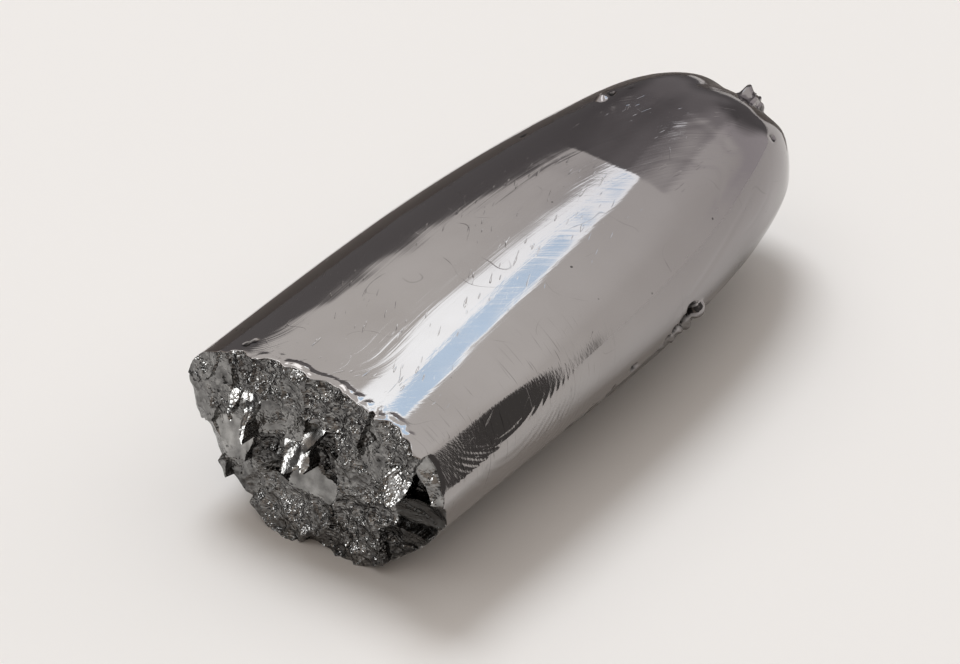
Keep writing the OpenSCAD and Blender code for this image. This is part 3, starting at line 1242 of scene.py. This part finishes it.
@dataclass
class Bar:
    """The bar: one cast piece, with its bright skin and its broken face."""

    mesh: BarMesh = field(default_factory=BarMesh)
    skin: BrightMelt = BrightMelt()
    broken: CrystalBreak = CrystalBreak()
    node: str = "bar"
    slot: str = "ruthenium"
    samples: int = 400

    def place(self) -> Vector:
        """Move, in mm, that lays the loft into the frame's box.

        Returns:
            The shift from the loft's origin to the frame's.
        """
        low, high = (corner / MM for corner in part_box(self.node))
        form = self.mesh.form
        x = np.linspace(0, form.length, self.samples)
        y_left = form.skin(x, np.zeros_like(x))[:, 1].max()
        y_right = form.skin(x, np.full_like(x, np.pi))[:, 1].min()
        middle = (low.y + high.y) / 2
        return Vector((high.x - form.length, middle - (y_left + y_right) / 2, low.z))

    def build(self) -> bpy.types.Object:
        """Builds, dresses and seats the bar.

        Returns:
            The finished object.
        """
        piece = self.mesh.build(self.place())
        piece.data.materials.append(self.skin.build())
        piece.data.materials.append(self.broken.build())
        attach(piece, "root")
        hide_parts(self.node)
        return piece


@dataclass(frozen=True)
class StudioCard:
    """Plain card or paper of the studio, matt or lit."""

    # The eye sees an even tone with no mirror image in it
    name: str
    colour: str
    roughness: float = 0.9
    sheen: float = 0.5
    light: str = "#FFFFFF"
    light_strength: float = 0.0

    def build(self) -> bpy.types.Material:
        """Makes the material.

        Returns:
            The finished material.
        """
        material = bpy.data.materials.new(self.name)
        material.use_nodes = True
        inputs = material.node_tree.nodes["Principled BSDF"].inputs
        inputs["Base Color"].default_value = linear(self.colour)
        inputs["Roughness"].default_value = self.roughness
        inputs["Specular IOR Level"].default_value = self.sheen
        inputs["Emission Color"].default_value = linear(self.light)
        inputs["Emission Strength"].default_value = self.light_strength
        return material


@dataclass(frozen=True)
class Panel:
    """Part of the studio's dome: where it hangs, half its size and its soft edge in degrees, and its light.

    Its upper and lower edge climb by the tilt for each degree of azimuth.
    """

    azimuth: float
    elevation: float
    half_width: float
    half_height: float
    soft: float
    colour: str
    strength: float
    tilt: float = 0.0

    def mask(self, tree: Tree, azimuth: Node, elevation: Node) -> Node:
        """Share by which a direction lies on the panel.

        Args:
            tree: the dome's nodes.
            azimuth: azimuth of the direction, in radians.
            elevation: elevation of the direction, in radians.

        Returns:
            The node that gives 1 on the panel and 0 off it.
        """
        level = add_node(tree, "Math", {0: azimuth, 1: -self.tilt, 2: elevation}, operation="MULTIPLY_ADD")
        sides = (
            (azimuth, self.azimuth, self.half_width),
            (level, self.elevation - self.tilt * self.azimuth, self.half_height),
        )
        masks = []
        for angle, centre, half in sides:
            away = add_node(tree, "Math", {0: angle, 1: math.radians(centre)}, operation="SUBTRACT")
            turn = add_node(tree, "Math", {0: away, 1: -math.pi, 2: math.pi}, operation="WRAP")
            gap = add_node(tree, "Math", {0: turn}, operation="ABSOLUTE")
            inner, outer = math.radians(half - self.soft / 2), math.radians(half + self.soft / 2)
            fade = Span(inner, outer, 1.0, 0.0).of(gap)
            masks.append(add_node(tree, "MapRange", fade, interpolation_type="SMOOTHSTEP"))
        return add_node(tree, "Math", dict(enumerate(masks)), operation="MULTIPLY")


@dataclass(frozen=True)
class Flag:
    """Grey board that only mirrors see: its two ends on the floor and its height in mm, and its colour."""

    name: str
    start: tuple[float, float]
    end: tuple[float, float]
    top: float
    colour: str

    def corners(self) -> list[Vector]:
        """Corners of the board in metres."""
        ends = ((*self.start, 0.0), (*self.end, 0.0), (*self.end, self.top), (*self.start, self.top))
        return [Vector(corner) * MM for corner in ends]


@dataclass(frozen=True)
class Flash:
    """Bright card that only mirrors see: where it hangs and half its size in degrees, and its light."""

    name: str
    azimuth: float
    elevation: float
    half_width: float
    half_height: float
    colour: str
    strength: float
    distance: float = 1.0

    def corners(self) -> list[Vector]:
        """Places the card square to the line from the bar.

        Returns:
            Its corners in order, in metres.
        """
        out = direction(self.azimuth, self.elevation)
        side = direction(self.azimuth + 90, 0) * math.tan(math.radians(self.half_width))
        rise = out.cross(side).normalized() * math.tan(math.radians(self.half_height))
        signs = ((-1, -1), (1, -1), (1, 1), (-1, 1))
        return [(out + i * side + j * rise) * self.distance for i, j in signs]


@dataclass
class Studio:
    """Pale floor, a soft dome of light, one large lamp, and boards that the bar's mirror skin sees."""

    floor_radius: float = 0.6
    floor_sides: int = 96
    floor_paper: StudioCard = StudioCard("matt_paper_floor", "#EAE8E5", 0.95, 0.1)
    dome_colour: str = "#FFEEE0"
    dome_strength: float = 0.45
    lamp_azimuth: float = 55.0
    lamp_elevation: float = 61.0
    lamp_distance: float = 1.80
    lamp_size: float = 0.80
    lamp_power: float = 15.4
    lamp_colour: str = "#F6FAFF"
    flags: tuple[Flag, ...] = (
        Flag("flag_behind_flank", (-15.0, 24.0), (60.0, 24.0), 12.0, "#8A8583"),
        Flag("flag_past_nose", (28.0, 23.0), (26.0, -1.0), 8.0, "#9A9592"),
    )
    flash: Flash = Flash("flash_card_over_break", 142.0, 34.0, 9.0, 8.5, "#FFFFFF", 6.8)
    flash_back: str = "#000000"
    flash_roughness: float = 0.5
    # A later panel hangs before an earlier one
    panels: tuple[Panel, ...] = (
        # Bright ceiling, and the pale wall along the near flank
        Panel(0.0, 56.0, 75.0, 32.0, 5.0, "#FFFBF8", 1.0),
        Panel(-32.0, 3.0, 28.0, 36.0, 22.0, "#FFFAF6", 0.88),
        # Greys that the nose mirrors, darker towards the floor
        Panel(-16.0, 12.0, 18.0, 20.0, 10.0, "#FFF8FA", 0.74, 0.7),
        Panel(17.0, 4.0, 18.0, 41.0, 10.0, "#FFF8FA", 0.5),
        Panel(15.0, -8.0, 19.0, 36.0, 12.0, "#FFF8FA", 0.18),
        # Dark wall along the far flank, and its soft corner at the nose
        Panel(69.0, -30.0, 41.0, 39.2, 1.5, "#FFF8FA", 0.18, -0.93),
        Panel(26.0, 26.0, 9.0, 16.0, 14.0, "#FFF8FA", 0.33),
        # Window along the crown, with blue sky in its near half
        Panel(30.0, 54.2, 9.3, 11.0, 0.8, "#F8FCFF", 2.4, -0.17),
        Panel(27.2, 55.4, 4.7, 8.0, 0.8, "#C3DAF2", 2.15, -0.42),
        # Dark corner that shows low on the near flank
        Panel(-85.0, 9.0, 38.8, 22.0, 2.0, "#FFF8F4", 0.1),
        # Dark wall before the break, with the ceiling over it
        Panel(138.0, 10.0, 40.0, 20.0, 8.0, "#FFFBF8", 0.12),
        Panel(138.0, 62.0, 36.0, 13.0, 8.0, "#FFFFFF", 1.0),
        # Small window over the far flank
        Panel(74.0, 50.0, 14.0, 10.0, 3.0, "#FFFFFF", 2.6),
    )

    def build_world(self) -> None:
        """Hangs the dome: an even light with its panels."""
        world = bpy.data.worlds.new("studio_dome")
        bpy.context.scene.world = world
        world.use_nodes = True
        tree = world.node_tree
        tree.nodes.clear()
        where = add_node(tree, "TexCoord", {}).outputs["Generated"]
        axes = add_node(tree, "SeparateXYZ", {0: where}).outputs
        azimuth = add_node(tree, "Math", {0: axes["Y"], 1: axes["X"]}, operation="ARCTAN2")
        elevation = add_node(tree, "Math", {0: axes["Z"]}, operation="ARCSINE")
        light = self.glow(self.dome_colour, self.dome_strength)
        for panel in self.panels:
            glow = self.glow(panel.colour, panel.strength)
            mix = {"Factor": panel.mask(tree, azimuth, elevation), "A": light, "B": glow}
            light = add_node(tree, "Mix", mix, data_type="RGBA")
        background = add_node(tree, "Background", {"Color": light, "Strength": 1.0})
        add_node(tree, "OutputWorld", {"Surface": background})

    @staticmethod
    def glow(colour: str, strength: float) -> tuple[float, float, float, float]:
        """Linear light of a colour at a strength."""
        red, green, blue, alpha = linear(colour)
        return red * strength, green * strength, blue * strength, alpha

    def build_sheet(self, name: str, corners: list[Vector], card: StudioCard) -> bpy.types.Object:
        """Makes a flat sheet of the studio.

        Args:
            name: name of the object.
            corners: its corners in order, in metres.
            card: its finish.

        Returns:
            The sheet object.
        """
        mesh = bpy.data.meshes.new(name)
        mesh.from_pydata(corners, [], [tuple(range(len(corners)))])
        mesh.materials.append(card.build())
        sheet = bpy.data.objects.new(name, mesh)
        bpy.context.scene.collection.objects.link(sheet)
        return sheet

    def build_floor(self) -> bpy.types.Object:
        """Lays the floor, which takes the bar's shadow.

        Returns:
            The floor object.
        """
        turns = (360 * i / self.floor_sides for i in range(self.floor_sides))
        ring = [direction(turn, 0) * self.floor_radius for turn in turns]
        floor = self.build_sheet("floor", ring, self.floor_paper)
        return floor

    def build_boards(self) -> list[bpy.types.Object]:
        """Stands the flags and hangs the flash card, which makes the break's steep facets flash.

        Returns:
            The board objects, which only mirrors see.
        """
        flash = self.flash
        lit = StudioCard(
            flash.name, self.flash_back, self.flash_roughness,
            light=flash.colour, light_strength=flash.strength,
        )
        pairs = [(flag, StudioCard(flag.name, flag.colour)) for flag in self.flags] + [(flash, lit)]
        boards = [self.build_sheet(board.name, board.corners(), card) for board, card in pairs]
        for board in boards:
            board.visible_camera = False
            board.visible_diffuse = False
            board.visible_shadow = False
        return boards

    def build_lamp(self) -> bpy.types.Object:
        """Hangs the large soft lamp that throws the bar's shadow.

        Returns:
            The lamp object.
        """
        data = bpy.data.lights.new("large_softbox", "AREA")
        data.shape = "DISK"
        data.size = self.lamp_size
        data.energy = self.lamp_power
        data.color = linear(self.lamp_colour)[:3]
        lamp = bpy.data.objects.new("large_softbox", data)
        bpy.context.scene.collection.objects.link(lamp)
        away = direction(self.lamp_azimuth, self.lamp_elevation)
        lamp.location = away * self.lamp_distance
        lamp.rotation_mode = "QUATERNION"
        lamp.rotation_quaternion = away.to_track_quat("Z", "Y")
        # The metal mirrors the dome and the boards alone, so the lamp lights only the floor
        lamp.visible_glossy = False
        return lamp

    def build(self) -> None:
        """Builds the dome, the floor, the boards and the lamp."""
        self.build_world()
        log.info("floor: %s", self.build_floor().name)
        for board in self.build_boards():
            log.info("board: %s", board.name)
        log.info("lamp: %s", self.build_lamp().name)


@dataclass
class PhotoCamera:
    """Camera at the photograph's viewing angle; lengths in mm."""

    azimuth: float = -52.4
    elevation: float = 36.0
    distance: float = 285.0
    clip_start: float = 10.0
    clip_end: float = 10000.0
    pixels_per_mm: float = 20.8
    aim: tuple[float, float, float] = (-2.21, 1.38, 3.30)
    sensor: float = 36.0

    def build(self) -> bpy.types.Object:
        """Makes the camera and gives it to the scene.

        Returns:
            The camera object.
        """
        data = bpy.data.cameras.new("photo_camera")
        data.sensor_width = self.sensor
        data.lens = self.pixels_per_mm * self.distance * self.sensor / PHOTO_WIDTH
        data.clip_start = self.clip_start * MM
        data.clip_end = self.clip_end * MM
        camera = bpy.data.objects.new("photo_camera", data)
        bpy.context.scene.collection.objects.link(camera)
        # Azimuth 0 looks along +Y, so the camera stands a quarter turn behind that
        back = direction(self.azimuth - 90, self.elevation)
        camera.location = (Vector(self.aim) + back * self.distance) * MM
        camera.rotation_mode = "QUATERNION"
        camera.rotation_quaternion = (-back).to_track_quat("-Z", "Y")
        bpy.context.scene.camera = camera
        return camera


def main() -> None:
    """Builds the camera, the bar and the studio in order."""
    logging.basicConfig(level=logging.INFO, format="%(name)s %(message)s")
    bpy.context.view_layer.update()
    bpy.context.scene.view_settings.view_transform = "Standard"
    log.info("camera: %s", PhotoCamera().build().name)
    piece = Bar().build()
    log.info("bar: %d faces", len(piece.data.polygons))
    Studio().build()


if __name__ == "__main__":
    main()
